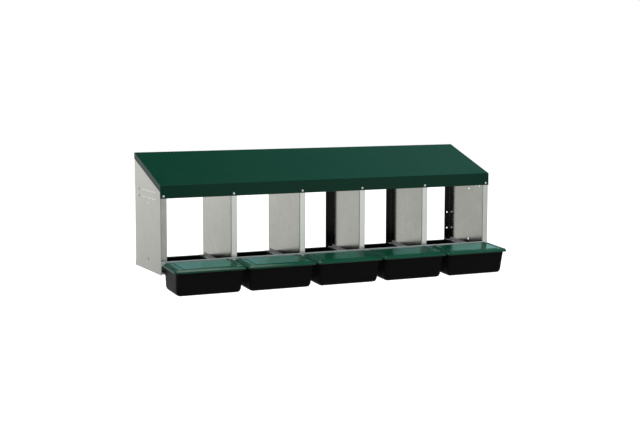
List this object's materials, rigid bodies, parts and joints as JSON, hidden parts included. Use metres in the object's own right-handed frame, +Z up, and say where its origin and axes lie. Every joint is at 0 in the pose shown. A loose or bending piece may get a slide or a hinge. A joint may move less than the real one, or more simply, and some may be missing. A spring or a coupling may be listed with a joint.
{
  "type": "poultry nesting box",
  "caption": "Wall-hung row of nesting bays in galvanised sheet under a sloping roof, with a moulded slide-out tray in each bay and a hinged lid over its front egg tub.",
  "frame": {"origin": "on the wall plane, in the middle of the rear rail's back face", "axes": "+X along the row to the right, seen from the front; +Y from the front to the wall; +Z up"},
  "size_m": [1.5, 0.4816, 0.526],
  "materials": {
    "zinc_sheet": "galvanised, faint spangle",
    "roof_paint": "satin dark green coating",
    "tray_plastic": "black, fine moulded grain",
    "lid_plastic": "dark green, satin moulding",
    "rivet": "bright blind rivet",
    "rod": "bright zinc plated"
  },
  "bodies": {
    "housing": {"roof": "roof_paint", "end_panel_left": "zinc_sheet", "end_panel_right": "zinc_sheet", "partition_1": "zinc_sheet", "partition_2": "zinc_sheet", "partition_3": "zinc_sheet", "partition_4": "zinc_sheet", "front_sill": "zinc_sheet", "rear_rail": "zinc_sheet", "tray_runner_left_1": "zinc_sheet", "tray_runner_right_1": "zinc_sheet", "tray_runner_left_2": "zinc_sheet", "tray_runner_right_2": "zinc_sheet", "tray_runner_left_3": "zinc_sheet", "tray_runner_right_3": "zinc_sheet", "tray_runner_left_4": "zinc_sheet", "tray_runner_right_4": "zinc_sheet", "tray_runner_left_5": "zinc_sheet", "tray_runner_right_5": "zinc_sheet", "fascia_rivets": "rivet", "sill_rivets": "rivet"},
    "tray_1": {"nest_tray_1": "tray_plastic", "lid_rod_1": "rod"},
    "lid_1": {"egg_lid_1": "lid_plastic"},
    "tray_2": {"nest_tray_2": "tray_plastic", "lid_rod_2": "rod"},
    "lid_2": {"egg_lid_2": "lid_plastic"},
    "tray_3": {"nest_tray_3": "tray_plastic", "lid_rod_3": "rod"},
    "lid_3": {"egg_lid_3": "lid_plastic"},
    "tray_4": {"nest_tray_4": "tray_plastic", "lid_rod_4": "rod"},
    "lid_4": {"egg_lid_4": "lid_plastic"},
    "tray_5": {"nest_tray_5": "tray_plastic", "lid_rod_5": "rod"},
    "lid_5": {"egg_lid_5": "lid_plastic"}
  },
  "joints": [
    {"name": "tray_slide_1", "type": "slide", "parent": "housing", "child": "tray_1", "axis": [0, -0.9976, -0.0698], "range_m": [0, 0.27]},
    {"name": "lid_hinge_1", "type": "hinge", "parent": "tray_1", "child": "lid_1", "pos_m": [-0.6, -0.33499, 0.03283], "axis": [-1, 0, 0], "range_deg": [0, 96]},
    {"name": "tray_slide_2", "type": "slide", "parent": "housing", "child": "tray_2", "axis": [0, -0.9976, -0.0698], "range_m": [0, 0.27]},
    {"name": "lid_hinge_2", "type": "hinge", "parent": "tray_2", "child": "lid_2", "pos_m": [-0.3, -0.33499, 0.03283], "axis": [-1, 0, 0], "range_deg": [0, 96]},
    {"name": "tray_slide_3", "type": "slide", "parent": "housing", "child": "tray_3", "axis": [0, -0.9976, -0.0698], "range_m": [0, 0.27]},
    {"name": "lid_hinge_3", "type": "hinge", "parent": "tray_3", "child": "lid_3", "pos_m": [0, -0.33499, 0.03283], "axis": [-1, 0, 0], "range_deg": [0, 96]},
    {"name": "tray_slide_4", "type": "slide", "parent": "housing", "child": "tray_4", "axis": [0, -0.9976, -0.0698], "range_m": [0, 0.27]},
    {"name": "lid_hinge_4", "type": "hinge", "parent": "tray_4", "child": "lid_4", "pos_m": [0.3, -0.33499, 0.03283], "axis": [-1, 0, 0], "range_deg": [0, 96]},
    {"name": "tray_slide_5", "type": "slide", "parent": "housing", "child": "tray_5", "axis": [0, -0.9976, -0.0698], "range_m": [0, 0.27]},
    {"name": "lid_hinge_5", "type": "hinge", "parent": "tray_5", "child": "lid_5", "pos_m": [0.6, -0.33499, 0.03283], "axis": [-1, 0, 0], "range_deg": [0, 96]}
  ]
}
